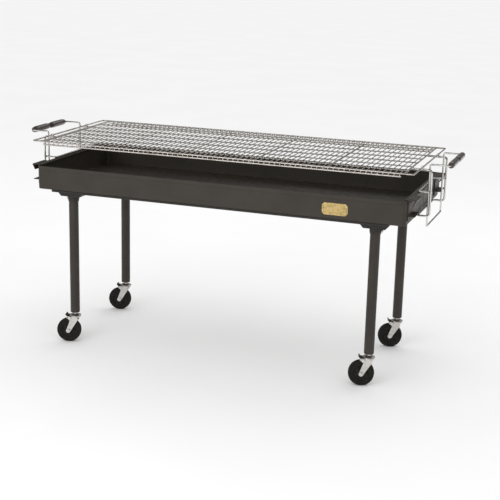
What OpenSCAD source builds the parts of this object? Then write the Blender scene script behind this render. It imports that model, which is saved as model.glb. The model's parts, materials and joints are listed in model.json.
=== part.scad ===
// Long charcoal grill on four tube legs with locking swivel casters.
// An open steel trough holds the charcoal. The cooking grate stands over it on
// two lift racks, one at each end, whose rungs rest on the trough's end rails.
// Origin: on the floor, in the middle of the four legs. +X right, -Y front, +Z up.

/* [Trough] */
// Outside length of the trough
body_l = 1516; // [1200:1:1900]
// Outside depth of the trough, front to back
body_w = 622; // [470:1:760]
// Height of the trough's walls
body_h = 94; // [70:1:120]
// Height of the rim above the floor
rim_z = 751; // [650:1:850]
// Thickness of the sheet steel
sheet = 3; // [2:0.5:4]
// Outside radius of the trough's upright corners
corner_r = 16; // [8:1:24]
// Height of the hem folded along the front and back rim
hem_h = 15; // [10:1:22]
// Thickness that the folded hem stands proud
hem_t = 2.5; // [1.5:0.5:3]

/* [End rails and corner brackets] */
// How far the rails lie inside the end walls
rail_in = 12; // [8:1:16]
// How far the rails stand out from the end walls
rail_out = 12; // [10:1:14]
// How far the corner brackets' wings stand out from the end walls
wing_out = 32; // [28:1:42]
// Depth of the wing's turned-down lip
lip_drop = 20; // [8:1:26]
// How far the lower fin stands out from the end wall
fin_out = 28; // [22:1:36]
// Depth of the fin below the rim
fin_drop = 59; // [40:1:64]
// Thickness of the corner brackets' web
web_t = 5; // [3:0.5:6]
// Height of the corner brackets' web
web_h = 76; // [62:1:80]
// Length of the corner brackets along the end wall
bracket_l = 90; // [60:1:100]

/* [Underframe and legs] */
// Distance of the legs' axes from the trough's end walls
leg_in_x = 126; // [90:1:200]
// Distance of the legs' axes from the trough's front and back walls
leg_in_y = 69; // [34:0.5:90]
// Outside diameter of a leg tube
leg_d = 39; // [32:0.5:47]
// Wall of a leg tube
leg_wall = 2.5; // [1.5:0.5:4]
// Width of the long bars under the trough
bar_w = 66; // [50:1:100]
// Thickness of the long bars under the trough
bar_t = 8; // [5:1:12]
// Length of a leg's pan
pan_l = 116; // [90:1:130]
// Width of a leg's pan
pan_w = 60; // [56:1:70]
// Depth of a leg's pan
pan_h = 22; // [16:1:30]
// How far the ends of a leg's pan slope inwards
pan_slope = 16; // [0:1:20]
// Wall of a leg's collar
collar_wall = 3.5; // [2.5:0.5:5]
// Height of a leg's collar below its pan
collar_h = 24; // [18:1:36]

/* [Casters] */
// Diameter of a wheel
wheel_d = 101.6; // [76:0.1:125]
// Width of a tyre
wheel_w = 30; // [24:1:36]
// Gap between a wheel and the fork's crown above it
crown_gap = 5.4; // [4:0.1:12]
// Distance from the swivel axis to the wheel's axle
trail = 26.4; // [22:0.1:32]
// Direction in which the wheels trail, turned from -X
caster_angle = 15; // [0:1:45]
// Diameter of a wheel's axle bolt
axle_d = 10; // [8:0.5:12]
// Diameter of a caster's stem
stem_d = 11; // [10:0.5:12]
// Thickness of the fork's steel
fork_t = 3; // [2:0.5:4]
// Running clearance of axles, pins and eyes
run_gap = 0.06; // [0.02:0.01:0.1]

/* [Grate] */
// How far the grate's end rails stand out beyond the trough's end walls
grate_over = 18; // [16:1:24]
// How far the grate stops short of the trough's front and back walls
grate_in_y = 3.5; // [-20:0.5:20]
// Height of the grate's frame above the rim
grate_up = 100.2; // [90:0.1:120]
// Diameter of the frame's wire
frame_d = 6.4; // [5:0.1:8]
// Diameter of the cooking wires
mesh_d = 3.6; // [3:0.1:6]
// Diameter of the long rods and the cross rods
rod_d = 5; // [4:0.1:8]
// Spacing of the cooking wires
mesh_pitch = 20.7; // [15:0.1:30]
// Number of long rods under the cooking wires
rod_n = 6; // [4:2:6]
// Number of bays between the heavy cross rods
bay_n = 5; // [3:1:7]
// Distance from the upper rail down to the lower rail
rail_drop = 11.3; // [9:0.1:16]
// Width of the narrow loop at each end
loop_w = 36; // [30:1:44]

/* [Lift racks] */
// Diameter of the rack's hook wire
hook_d = 8; // [6:0.5:8]
// Diameter of the handle's wire and of the middle rung
handle_d = 7; // [5:0.5:7]
// How far the hook's uprights stand out from the end wall
hook_out = 54; // [50:1:60]
// How far the handle's legs stand out from the end wall
leg_out = 44; // [42:1:46]
// How far the handle's bar stands out from the end wall
bar_out = 118; // [105:1:130]
// Gap between a rack's hook wire and the corner bracket beside it
rack_gap = 48.1; // [20:0.1:70]
// Height of the handle's bar above the rim
bar_up = 111.5; // [106:0.5:130]
// Depth of the handle's lowest bar below the rim
foot_drop = 125; // [100:1:140]
// Distance from the middle rung down to the lower rung
rung_step = 90; // [76:1:96]
// Diameter of a grip
grip_d = 26; // [20:1:30]
// Gap between the two grips
grip_gap = 10; // [4:1:30]

/* [Badge] */
// Width of the badge
badge_w = 100; // [60:1:120]
// Height of the badge
badge_h = 46; // [30:1:52]
// Distance of the badge from the middle of the trough
badge_x = 490; // [-600:1:600]

/* [Hidden] */
$fn = 48;
weld = 0.3;               // how far two welded wires sink into each other
gap = 0.35;               // air between bodies that lie close to each other
rung_gap = 0.7;           // air under a rung, so that it swings clear of its rail
seam = 0.05;              // air between crossing wires of one piece, where a weld would be
CORNERS = [["fl", -1, -1], ["fr", 1, -1], ["bl", -1, 1], ["br", 1, 1]];

half_l = body_l / 2;
half_w = body_w / 2;
leg_dx = body_l - 2 * leg_in_x;       // between the left and right legs
leg_dy = body_w - 2 * leg_in_y;       // between the front and back legs
floor_z = rim_z - body_h;             // underside of the trough
rail_top = rim_z + sheet;             // face that the rungs rest on
pan_top = floor_z - bar_t;
pan_low = pan_top - pan_h;
leg_r = leg_d / 2;
leg_top = pan_top - sheet;
collar_r = leg_r + collar_wall;
bar_half = (leg_dx + pan_l) / 2 + 5;  // the long bars run just past the pans
bracket_y1 = half_w - corner_r - 2;   // outer end of a corner bracket
bracket_y0 = bracket_y1 - bracket_l;

wheel_r = wheel_d / 2;
axle_z = wheel_r;
axle_r = axle_d / 2;
crown_z = wheel_d + crown_gap;        // underside of the fork's crown
caster_h = crown_z + 22;              // height of a leg's foot above the floor
race_h = 3;
race_top = crown_z + fork_t + race_h;
fork_in = wheel_w / 2 + 3;            // inside of the fork's cheeks
fork_out = fork_in + fork_t;
fork_end_r = 9;
fork_front = 14;                      // front and back edges of a cheek's top
fork_back = -14;
ear_x = -trail - 2.6;                 // brake pivot, from the swivel axis
ear_z = crown_z + 1.9;
brake_r = 2.5;
hub_r = wheel_r * 0.7;

frame_r = frame_d / 2;
mesh_r = mesh_d / 2;
grate_z = rim_z + grate_up;
grate_x = half_l + grate_over;        // outer rail of the end loop
loop_x = grate_x - loop_w;            // inner rail of the end loop
grate_y = half_w - grate_in_y;
low_x = loop_x - 10;                  // ends of the lower rails
mesh_n = floor((low_x - mesh_d) / mesh_pitch);
rod_pitch = 2 * grate_y / (rod_n + 1);
bay = 2 * low_x / bay_n;

hook_r = hook_d / 2;
handle_r = handle_d / 2;
rung_x = half_l + rail_out - 6;       // bar of each rung, over the end rail
rung_z = rail_top + handle_r + rung_gap;
low_rung_x = half_l + rail_out - 2;
low_rung_z = rung_z - rung_step;
arm_z = grate_z - frame_r - hook_r - gap;
hook_y = bracket_y0 - rack_gap - hook_r;
rung_y = hook_y - hook_r - handle_r + weld;
handle_y = rung_y - 2 * handle_r + weld;
hook_x = half_l + hook_out;
handle_x = half_l + leg_out;
grip_x = half_l + bar_out;
grip_z = rim_z + bar_up;
bend_hook = 12;
bend_handle = 8;
bend_grip = 6.5;
grip_len = handle_y - bend_grip - 1 - grip_gap / 2;

// ---------- shared shapes ----------

function unit(v) = v / norm(v);

// Places a child so that its own X, Y and Z lie along ax, ay and az at point c
module place(ax, ay, az, c) {
    multmatrix([
        [ax[0], ay[0], az[0], c[0]],
        [ax[1], ay[1], az[1], c[1]],
        [ax[2], ay[2], az[2], c[2]],
        [0, 0, 0, 1]
    ]) children();
}

// Straight round bar between two points that lie on one axis direction
module bar(a, b, d) {
    az = unit(b - a);
    ax = abs(az[2]) > 0.5 ? [1, 0, 0] : [0, 0, 1];
    place(ax, cross(az, ax), az, a) cylinder(d = d, h = norm(b - a));
}

// Quarter bend at corner p, from direction a into direction b
module bend(p, a, b, r, d) {
    place(-b, a, cross(a, b), p - a * r + b * r)
        rotate_extrude(angle = 90) translate([r, 0]) circle(d = d);
}

// Bent wire through axis-aligned corner points
module wire(pts, d, r) {
    n = len(pts);
    for (i = [0 : n - 2]) {
        u = unit(pts[i + 1] - pts[i]);
        bar(pts[i] + (i > 0 ? r : 0) * u, pts[i + 1] - (i < n - 2 ? r : 0) * u, d);
    }
    for (i = [1 : n - 2])
        bend(pts[i], unit(pts[i] - pts[i - 1]), unit(pts[i + 1] - pts[i]), r, d);
}

// Closed bent wire through axis-aligned corner points
module ring_wire(pts, d, r) {
    n = len(pts);
    for (i = [0 : n - 1]) {
        a = pts[i];
        b = pts[(i + 1) % n];
        c = pts[(i + 2) % n];
        bar(a + r * unit(b - a), b - r * unit(b - a), d);
        bend(b, unit(b - a), unit(c - b), r, d);
    }
}

// Flat rectangle with round corners, centred
module round_rect(l, w, r) {
    square([l - 2 * r, w], center = true);
    square([l, w - 2 * r], center = true);
    for (sx = [-1, 1], sy = [-1, 1])
        translate([sx * (l / 2 - r), sy * (w / 2 - r)]) circle(r);
}

// Point where a line from p touches a circle, on the left (1) or right (-1) of it
function touch(p, c, r, side) =
    let (d = norm(p - c), a = atan2(p[1] - c[1], p[0] - c[0]) + side * acos(r / d))
    c + r * [cos(a), sin(a)];

// Puts a child that was drawn at the origin on the leg's axis
module at_leg(sx, sy) {
    translate([sx * leg_dx / 2, sy * leg_dy / 2, 0]) children();
}

// The same, turned with the caster
module at_caster(sx, sy) {
    at_leg(sx, sy) rotate([0, 0, caster_angle]) children();
}

// ---------- trough ----------

module trough() {
    color([0.13, 0.12, 0.11]) {
        difference() {
            translate([0, 0, floor_z])
                linear_extrude(body_h) round_rect(body_l, body_w, corner_r);
            translate([0, 0, floor_z + sheet])
                linear_extrude(body_h)
                    round_rect(body_l - 2 * sheet, body_w - 2 * sheet, corner_r - sheet);
        }
        for (sy = [-1, 1]) hem(sy);
    }
}

// Folded hem along the front or back rim
module hem(sy) {
    len_x = body_l - 2 * corner_r;
    flat_h = hem_h - hem_t;
    translate([-len_x / 2, sy * (half_w + hem_t / 2), rim_z - hem_h / 2])
        rotate([90, 0, 90]) linear_extrude(len_x) {
            square([hem_t, flat_h], center = true);
            for (s = [-1, 1]) translate([0, s * flat_h / 2]) circle(d = hem_t);
        }
}

module end_rail(sx) {
    color([0.13, 0.12, 0.11])
        translate([sx * (half_l + (rail_out - rail_in) / 2), 0, rim_z])
            linear_extrude(sheet)
                square([rail_in + rail_out, 2 * bracket_y0 - 1], center = true);
}

// Folded bracket at a corner: wing on top, web down the end wall, fin lower down
module corner_bracket(sx, sy) {
    color([0.13, 0.12, 0.11])
        translate([sx * half_l, sy * bracket_y0, rim_z])
            mirror([sx < 0 ? 1 : 0, 0, 0]) mirror([0, sy < 0 ? 1 : 0, 0])
                translate([0, bracket_l, 0]) rotate([90, 0, 0])
                    linear_extrude(bracket_l) bracket_profile();
}

module bracket_profile() {
    lip_in = wing_out - 10;
    fin_top = -fin_drop + sheet / 2;
    polygon([
        [-rail_in, sheet], [wing_out, sheet], [wing_out, 0],
        [lip_in, -lip_drop], [lip_in - sheet, -lip_drop], [wing_out - 2 * sheet, 0],
        [web_t, 0], [web_t, fin_top], [fin_out, fin_top], [fin_out, fin_top - sheet],
        [web_t, fin_top - sheet], [web_t, -web_h], [0, -web_h], [0, 0], [-rail_in, 0]
    ]);
}

// ---------- underframe and legs ----------

module frame_bar(sy) {
    color([0.13, 0.12, 0.11])
        translate([-bar_half, sy < 0 ? -half_w + 1 : half_w - 1 - bar_w, pan_top])
            cube([2 * bar_half, bar_w, bar_t]);
}

// Pan with sloping ends, open underneath
module leg_pan(sx, sy) {
    color([0.11, 0.10, 0.10])
        at_leg(sx, sy) translate([0, 0, pan_top]) rotate([90, 0, 0]) difference() {
            linear_extrude(pan_w, center = true) pan_profile(0, pan_h);
            translate([0, -sheet, 0]) linear_extrude(pan_w - 2 * sheet, center = true)
                pan_profile(1.3 * sheet, pan_h);
        }
}

// Side view of a pan, hanging down from the origin
module pan_profile(inset, depth) {
    end_x = pan_l / 2 - inset;
    end_h = 5;
    polygon([
        [-end_x, 0], [end_x, 0], [end_x, -end_h], [end_x - pan_slope, -depth],
        [pan_slope - end_x, -depth], [-end_x, -end_h]
    ]);
}

module leg_collar(sx, sy) {
    in_r = leg_r + run_gap;
    low = pan_low - collar_h;
    color([0.11, 0.10, 0.10])
        at_leg(sx, sy) difference() {
            rotate_extrude() polygon([
                [in_r, low], [in_r + 1, low], [collar_r, low + 8],
                [collar_r, leg_top], [in_r, leg_top]
            ]);
            translate([0, 0, pan_low - collar_h / 2])
                rotate([0, 90 * sx, 0]) cylinder(r = 3 + run_gap, h = collar_r + 1);
        }
}

module collar_screws() {
    color([0.45, 0.45, 0.46])
        for (c = CORNERS)
            at_leg(c[1], c[2]) translate([0, 0, pan_low - collar_h / 2])
                rotate([0, 90 * c[1], 0]) screw();
}

// Set screw with a round head, pointing in at the leg
module screw() {
    translate([0, 0, leg_r + run_gap]) cylinder(r = 3, h = collar_wall + 4);
    difference() {
        translate([0, 0, collar_r + 0.5]) cylinder(r = 5, h = 5);
        translate([0, 0, collar_r + 3.5]) cylinder(r = 2.5, h = 4, $fn = 6);
    }
}

module leg(sx, sy) {
    bore_h = 42;
    foot = 3.5;
    plug_top = caster_h + bore_h + 4;
    in_r = leg_r - leg_wall;
    color([0.14, 0.13, 0.12])
        at_leg(sx, sy) rotate_extrude() polygon([
            [stem_d / 2 + run_gap, caster_h], [leg_r - foot, caster_h],
            [leg_r - foot / 3, caster_h + foot / 3], [leg_r, caster_h + foot],
            [leg_r, leg_top], [in_r, leg_top], [in_r, plug_top],
            [stem_d / 2 + run_gap, plug_top]
        ]);
}

// ---------- casters ----------

module caster_stem(sx, sy) {
    pin_r = 5;
    cap_r = 25;
    low = race_top + gap;
    color([0.78, 0.78, 0.80])
        at_leg(sx, sy) rotate_extrude() polygon([
            [0, crown_z - 4], [pin_r + 2, crown_z - 4], [pin_r + 2, crown_z - gap],
            [pin_r, crown_z - gap], [pin_r, low], [cap_r, low], [cap_r, low + 3],
            [cap_r - 4, low + 6], [12, low + 8], [9, low + 10], [9, caster_h],
            [stem_d / 2, caster_h], [stem_d / 2, caster_h + 38], [stem_d / 2 - 1, caster_h + 40],
            [0, caster_h + 40]
        ]);
}

module fork(sx, sy) {
    color([0.78, 0.78, 0.80]) at_caster(sx, sy) {
        difference() {
            union() {
                translate([0, 0, crown_z]) cylinder(r = 23, h = fork_t + race_h);
                translate([fork_back + 4, -fork_out, crown_z])
                    cube([fork_front - fork_back - 4, 2 * fork_out, fork_t]);
            }
            translate([0, 0, crown_z - 1]) cylinder(r = 5 + run_gap, h = fork_t + race_h + 2);
            translate([0, 0, crown_z + fork_t]) cylinder(r = 16, h = race_h + 1);
        }
        for (s = [-1, 1]) fork_cheek(s);
    }
}

// One side of the fork, from the crown down to the axle, with an ear for the brake
module fork_cheek(s) {
    top = crown_z + fork_t;
    axle = [-trail, axle_z];
    ear = [ear_x, ear_z];
    left = [fork_back, top];
    elbow = [fork_front, top - 12];
    translate([0, s < 0 ? -fork_in : fork_out, 0]) rotate([90, 0, 0])
        linear_extrude(fork_t) difference() {
            union() {
                polygon([
                    left, [fork_front, top], elbow, touch(elbow, axle, fork_end_r, -1),
                    axle, touch(left, axle, fork_end_r, 1)
                ]);
                translate(axle) circle(fork_end_r);
                polygon([
                    [ear_x, ear_z + 5], [ear_x, ear_z - 5], [fork_back - 2, crown_z - 16],
                    [fork_back + 4, top]
                ]);
                translate(ear) circle(5);
            }
            translate(axle) circle(axle_r + run_gap);
            translate(ear) circle(brake_r + run_gap);
        }
}

module axle(sx, sy) {
    head = 6;
    color([0.7, 0.7, 0.72]) at_caster(sx, sy) translate([-trail, 0, axle_z]) {
        rotate([90, 0, 0]) cylinder(r = axle_r, h = 2 * (fork_out + head), center = true);
        for (s = [-1, 1])
            translate([0, s * (fork_out + head / 2), 0]) rotate([90, 0, 0])
                cylinder(d = axle_d * 1.7, h = head, center = true, $fn = 6);
    }
}

module tyre(sx, sy) {
    shoulder = 5;
    color([0.09, 0.09, 0.09]) at_caster(sx, sy)
        translate([-trail, 0, axle_z]) rotate([90, 0, 0]) rotate_extrude($fn = 96)
            difference() {
                intersection() {
                    translate([wheel_r / 2, 0]) round_rect(wheel_r, wheel_w, shoulder);
                    translate([hub_r, -wheel_w]) square([wheel_r, 2 * wheel_w]);
                }
                for (s = [-1, 1])
                    translate([hub_r + 5, s * wheel_w / 2]) circle(1.5, $fn = 24);
            }
}

module hub(sx, sy) {
    wide = fork_in - 1;
    rim_half = wheel_w / 2 - 2;
    web_half = 6;
    bore_r = axle_r + run_gap;
    color([0.10, 0.10, 0.10]) at_caster(sx, sy)
        translate([-trail, 0, axle_z]) rotate([90, 0, 0]) rotate_extrude($fn = 96) polygon([
            [bore_r, -wide], [axle_r + 7, -wide], [axle_r + 9, -web_half],
            [hub_r - 6, -web_half], [hub_r - 4, -rim_half], [hub_r, -rim_half],
            [hub_r, rim_half], [hub_r - 4, rim_half], [hub_r - 6, web_half],
            [axle_r + 9, web_half], [axle_r + 7, wide], [bore_r, wide]
        ]);
}

// Brake lever: a cam on a cross pin, with a foot tab over the wheel
module brake(sx, sy) {
    cam_w = 2 * fork_in - 4;
    cam_r = 4.6;
    nose_r = 2.2;
    tab_t = 3;
    tab_l = 16;
    color([0.08, 0.08, 0.08])
        at_caster(sx, sy) translate([ear_x, 0, ear_z]) rotate([90, 0, 0]) {
            cylinder(r = brake_r, h = 2 * fork_out, center = true);
            linear_extrude(cam_w, center = true) {
                circle(cam_r);
                rotate(38) translate([-tab_t / 2, 0]) square([tab_t, tab_l]);
                rotate(-20) translate([0, -4.8]) circle(nose_r);
            }
        }
}

// ---------- badge ----------

// Plain plate with cut-off corners, clear of the hem above it
module badge() {
    cut = 9;
    w = badge_w / 2;
    h = badge_h / 2;
    color([0.80, 0.62, 0.28])
        translate([badge_x, -half_w, badge_z()]) rotate([90, 0, 0])
            linear_extrude(1.5) polygon([
                [-w + cut, -h], [w - cut, -h], [w, -h + cut], [w, h - cut],
                [w - cut, h], [-w + cut, h], [-w, h - cut], [-w, -h + cut]
            ]);
}

function badge_z() = (floor_z + rim_z - hem_h) / 2;

module badge_rivets() {
    color([0.75, 0.58, 0.26])
        for (s = [-1, 1])
            translate([badge_x + s * (badge_w / 2 - 7), -half_w - 1.5, badge_z()])
                rotate([90, 0, 0]) {
                    cylinder(r = 3, h = 0.8);
                    translate([0, 0, 0.8]) cylinder(r1 = 3, r2 = 1.6, h = 0.8);
                }
}

// ---------- grate ----------

module grate_frame() {
    corner_r = 9;
    rail_x = loop_x - sqrt(pow(corner_r + frame_d, 2) - pow(corner_r, 2)) + corner_r - seam;
    color([0.75, 0.75, 0.74]) {
        for (sx = [-1, 1])
            ring_wire([
                [sx * loop_x, -grate_y, grate_z], [sx * grate_x, -grate_y, grate_z],
                [sx * grate_x, grate_y, grate_z], [sx * loop_x, grate_y, grate_z]
            ], frame_d, corner_r);
        for (sy = [-1, 1]) {
            bar([-rail_x, sy * grate_y, grate_z], [rail_x, sy * grate_y, grate_z], frame_d);
            bar([-low_x, sy * grate_y, grate_z - rail_drop],
                [low_x, sy * grate_y, grate_z - rail_drop], frame_d);
        }
    }
}

// Long rods under the cooking wires, and the heavy cross rods between the bays
module grate_rods() {
    rod_z = grate_z - mesh_r - rod_d / 2 + weld;
    cross_z = rod_z - rod_d - seam;
    color([0.72, 0.72, 0.71]) {
        for (i = [1 : rod_n])
            bar([-loop_x, -grate_y + i * rod_pitch, rod_z],
                [loop_x, -grate_y + i * rod_pitch, rod_z], rod_d);
        for (i = [1 : bay_n - 1])
            bar([-low_x + i * bay, -grate_y, cross_z], [-low_x + i * bay, grate_y, cross_z],
                rod_d);
    }
}

module grate_wires() {
    end_y = grate_y - frame_r + weld;
    color([0.78, 0.78, 0.77])
        for (i = [-mesh_n : mesh_n])
            bar([i * mesh_pitch, -end_y, grate_z], [i * mesh_pitch, end_y, grate_z], mesh_d);
}

// Short uprights between the upper and lower rails
module grate_posts() {
    top = grate_z - frame_r + weld;
    low = grate_z - rail_drop + frame_r - weld;
    color([0.78, 0.78, 0.77])
        for (sy = [-1, 1], i = [-mesh_n : mesh_n])
            bar([i * mesh_pitch, sy * grate_y, low], [i * mesh_pitch, sy * grate_y, top], mesh_d);
}

// ---------- lift racks ----------

// Hook wire with its lower rung, the middle rung, and the eyes on the grate's rail
module rack_frame(sx) {
    arm_end = sx * (loop_x - 8);
    color([0.75, 0.75, 0.76]) {
        wire([
            [arm_end, -hook_y, arm_z], [sx * hook_x, -hook_y, arm_z],
            [sx * hook_x, -hook_y, low_rung_z], [sx * low_rung_x, -hook_y, low_rung_z],
            [sx * low_rung_x, hook_y, low_rung_z], [sx * hook_x, hook_y, low_rung_z],
            [sx * hook_x, hook_y, arm_z], [arm_end, hook_y, arm_z]
        ], hook_d, bend_hook);
        wire([
            [sx * (hook_x + hook_r), -rung_y, rung_z], [sx * rung_x, -rung_y, rung_z],
            [sx * rung_x, rung_y, rung_z], [sx * (hook_x + hook_r), rung_y, rung_z]
        ], handle_d, bend_handle);
        for (sy = [-1, 1]) eye(sx, sy);
    }
}

// Sleeve that turns on the grate's outer rail and is welded to the hook's arm
module eye(sx, sy) {
    wall = 2.4;
    wide = 12;
    translate([sx * grate_x, sy * hook_y, grate_z]) rotate([90, 0, 0]) difference() {
        cylinder(r = frame_r + run_gap + wall, h = wide, center = true);
        cylinder(r = frame_r + run_gap, h = wide + 2, center = true);
    }
}

module rack_handle(sx) {
    foot_z = rim_z - foot_drop;
    color([0.75, 0.75, 0.76]) {
        for (sy = [-1, 1]) {
            wire([
                [sx * grip_x, 0, grip_z], [sx * grip_x, sy * handle_y, grip_z],
                [sx * handle_x, sy * handle_y, grip_z], [sx * handle_x, sy * handle_y, foot_z],
                [sx * handle_x, 0, foot_z]
            ], handle_d, bend_grip);
        }
    }
}

// Turned grip with round ends, bored for the handle's bar
module grip(sx, sy) {
    bore_r = handle_r + run_gap;
    r = grip_d / 2;
    color([0.27, 0.13, 0.08])
        translate([sx * grip_x, sy * grip_gap / 2, grip_z]) rotate([-90 * sy, 0, 0])
            rotate_extrude() polygon([
                [bore_r, 0], [r * 0.62, 0], [r * 0.85, r * 0.12], [r, r * 0.5],
                [r * 0.94, grip_len * 0.5], [r, grip_len - r * 0.5],
                [r * 0.85, grip_len - r * 0.12], [r * 0.62, grip_len], [bore_r, grip_len]
            ]);
}

// ---------- nodes ----------

trough();
end_rail(-1);  // end_rail_left
end_rail(1);  // end_rail_right
frame_bar(-1);  // frame_bar_front
frame_bar(1);  // frame_bar_back
collar_screws();
for (c = CORNERS) {
    corner_bracket(c[1], c[2]);
    leg_pan(c[1], c[2]);
    leg_collar(c[1], c[2]);
    leg(c[1], c[2]);
    caster_stem(c[1], c[2]);
    fork(c[1], c[2]);
    axle(c[1], c[2]);
    brake(c[1], c[2]);
    tyre(c[1], c[2]);
    hub(c[1], c[2]);
}
badge();
badge_rivets();
grate_frame();
grate_rods();
grate_wires();
grate_posts();
rack_frame(-1);  // rack_frame_left
rack_frame(1);  // rack_frame_right
rack_handle(-1);  // rack_handle_left
rack_handle(1);  // rack_handle_right
grip(-1, -1);  // grip_left_front
grip(-1, 1);  // grip_left_back
grip(1, -1);  // grip_right_front
grip(1, 1);  // grip_right_back
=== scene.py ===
import json
import math

import bmesh
import bpy
from mathutils import Matrix, Vector


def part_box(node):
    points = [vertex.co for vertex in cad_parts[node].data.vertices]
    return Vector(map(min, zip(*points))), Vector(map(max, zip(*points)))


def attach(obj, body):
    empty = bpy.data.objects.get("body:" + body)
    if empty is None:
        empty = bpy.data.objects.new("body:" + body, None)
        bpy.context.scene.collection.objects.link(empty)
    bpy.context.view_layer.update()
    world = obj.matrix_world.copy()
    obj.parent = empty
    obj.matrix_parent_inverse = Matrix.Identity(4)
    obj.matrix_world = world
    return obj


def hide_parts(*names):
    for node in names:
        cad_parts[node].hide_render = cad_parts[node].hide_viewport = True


# Looks of a long charcoal grill on four tube legs with locking casters.
# Everything is in metres, in the frame of the CAD model: +X right, -Y front, +Z up.

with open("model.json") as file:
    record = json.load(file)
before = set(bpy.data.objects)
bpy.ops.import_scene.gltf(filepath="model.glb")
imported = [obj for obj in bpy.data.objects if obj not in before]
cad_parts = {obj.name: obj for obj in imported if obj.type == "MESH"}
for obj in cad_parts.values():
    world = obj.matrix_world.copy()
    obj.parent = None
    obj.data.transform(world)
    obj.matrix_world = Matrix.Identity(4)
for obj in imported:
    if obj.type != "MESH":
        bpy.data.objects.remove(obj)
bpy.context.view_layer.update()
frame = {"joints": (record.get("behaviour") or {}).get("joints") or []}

SIDES = {"left": -1, "right": 1}
ENDS = {"front": -1, "back": 1}
CORNERS = {"fl": -1, "fr": 1, "bl": -1, "br": 1}   # which end each is at, along X
CORNER_NAMES = {"fl": "front_left", "fr": "front_right", "bl": "back_left", "br": "back_right"}

# Sheet and wire sizes that the boxes of the CAD nodes don't show by themselves
SHEET = 0.003          # sheet steel of the trough, rails, brackets and pans
CORNER_R = 0.016       # upright corners of the trough
HEM_T = 0.0025         # how far the folded hem stands proud
HEM_H = 0.015          # height of the folded hem
FRAME_R = 0.0032       # wire of the grate's frame
MESH_R = 0.0018        # cooking wires and posts
ROD_R = 0.0025         # long rods and cross rods
MESH_PITCH = 0.0207    # spacing of the cooking wires
ROD_COUNT = 6          # long rods under the cooking wires
BAY_COUNT = 5          # bays between the heavy cross rods
HOOK_R = 0.004         # hook wire of a rack
HANDLE_R = 0.0035      # handle wire and middle rung of a rack
WELD = 0.0003          # how far two welded wires sink into each other
LOOP_W = 0.036         # width of the grate's end loops
LEG_WALL = 0.0025      # wall of a leg tube
PAN_SLOPE = 0.016      # how far the ends of a leg's pan slope inwards
PAN_KNEE = 0.005       # upright part of those ends, under the bars
WEB_T = 0.005          # web of a corner bracket
FIN_OUT = 0.028        # how far a bracket's lower fin stands out
FIN_TOP = -0.0575      # top of that fin, from the rim
LIP_DROP = 0.020       # depth of a bracket wing's turned-down lip
LIP_IN = 0.010         # how far the lip leans in from the wing's edge
FORK_IN = 0.018        # half the width inside a caster's fork
FORK_T = 0.003         # sheet of the fork
RUN_GAP = 0.00006      # running clearance of eyes and grips
BODY_GAP = 0.00035     # air between bodies that lie close to each other
RUNG_GAP = 0.0007      # air under a middle rung
RAIL_BEND = 0.009      # bend of the grate's end loops
EYE_HALF = 0.006       # half the width of a rack's eye
EYE_WALL = 0.0024      # wall of a rack's eye
BEAD_R = 0.0017        # weld bead
BEAD_STEP = 0.0016     # spacing of a bead's ripples
BEAD_OFF = 0.0006      # how far the middle of a bead stands off its seam
STEM_R = 0.0055        # a caster's stem


# ---------- shapes ----------

def frame_at(origin, x_dir, y_dir):
    """Matrix with the given X and Y directions, at origin."""
    x_dir = Vector(x_dir).normalized()
    y_dir = Vector(y_dir).normalized()
    axes = Matrix((x_dir, y_dir, x_dir.cross(y_dir))).transposed().to_4x4()
    return Matrix.Translation(origin) @ axes


def along(axis, origin):
    """Matrix at origin whose Z direction is axis."""
    axis = Vector(axis).normalized()
    x_dir = axis.orthogonal()
    return frame_at(origin, x_dir, axis.cross(x_dir))


def skin(bm, rings):
    """Joins each ring of points to the next. A ring of one point closes the skin."""
    for a, b in zip(rings, rings[1:]):
        count = max(len(a), len(b))
        for i in range(count):
            j = (i + 1) % count
            corners = (a[i % len(a)], a[j % len(a)], b[j % len(b)], b[i % len(b)])
            corners = list(dict.fromkeys(corners))
            if len(corners) > 2:
                bm.faces.new(corners)


def lathe(bm, profile, place, sides=48, closed=False):
    """Adds a turned shape about place's Z axis, from (radius, height) points."""
    rings = []
    for radius, height in profile:
        turns = range(sides if radius > 1e-6 else 1)
        angles = [math.tau * i / sides for i in turns]
        rings.append([
            bm.verts.new(place @ Vector((radius * math.cos(a), radius * math.sin(a), height)))
            for a in angles
        ])
    if closed:
        rings.append(rings[0])
    skin(bm, rings)


def wire_path(points, bend_r, closed=False, steps=6):
    """Points of a bent wire: straight runs joined by arcs."""
    points = [Vector(p) for p in points]
    count = len(points)
    path = []
    for i, point in enumerate(points):
        if not closed and i in (0, count - 1):
            path.append(point)
            continue
        before = (point - points[i - 1]).normalized()
        after = (points[(i + 1) % count] - point).normalized()
        turn = before.angle(after)
        start = point - before * bend_r * math.tan(turn / 2)
        axis = before.cross(after).normalized()
        centre = start + axis.cross(before) * bend_r
        for step in range(steps + 1):
            spin = Matrix.Rotation(turn * step / steps, 3, axis)
            path.append(centre + spin @ (start - centre))
    return path


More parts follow.
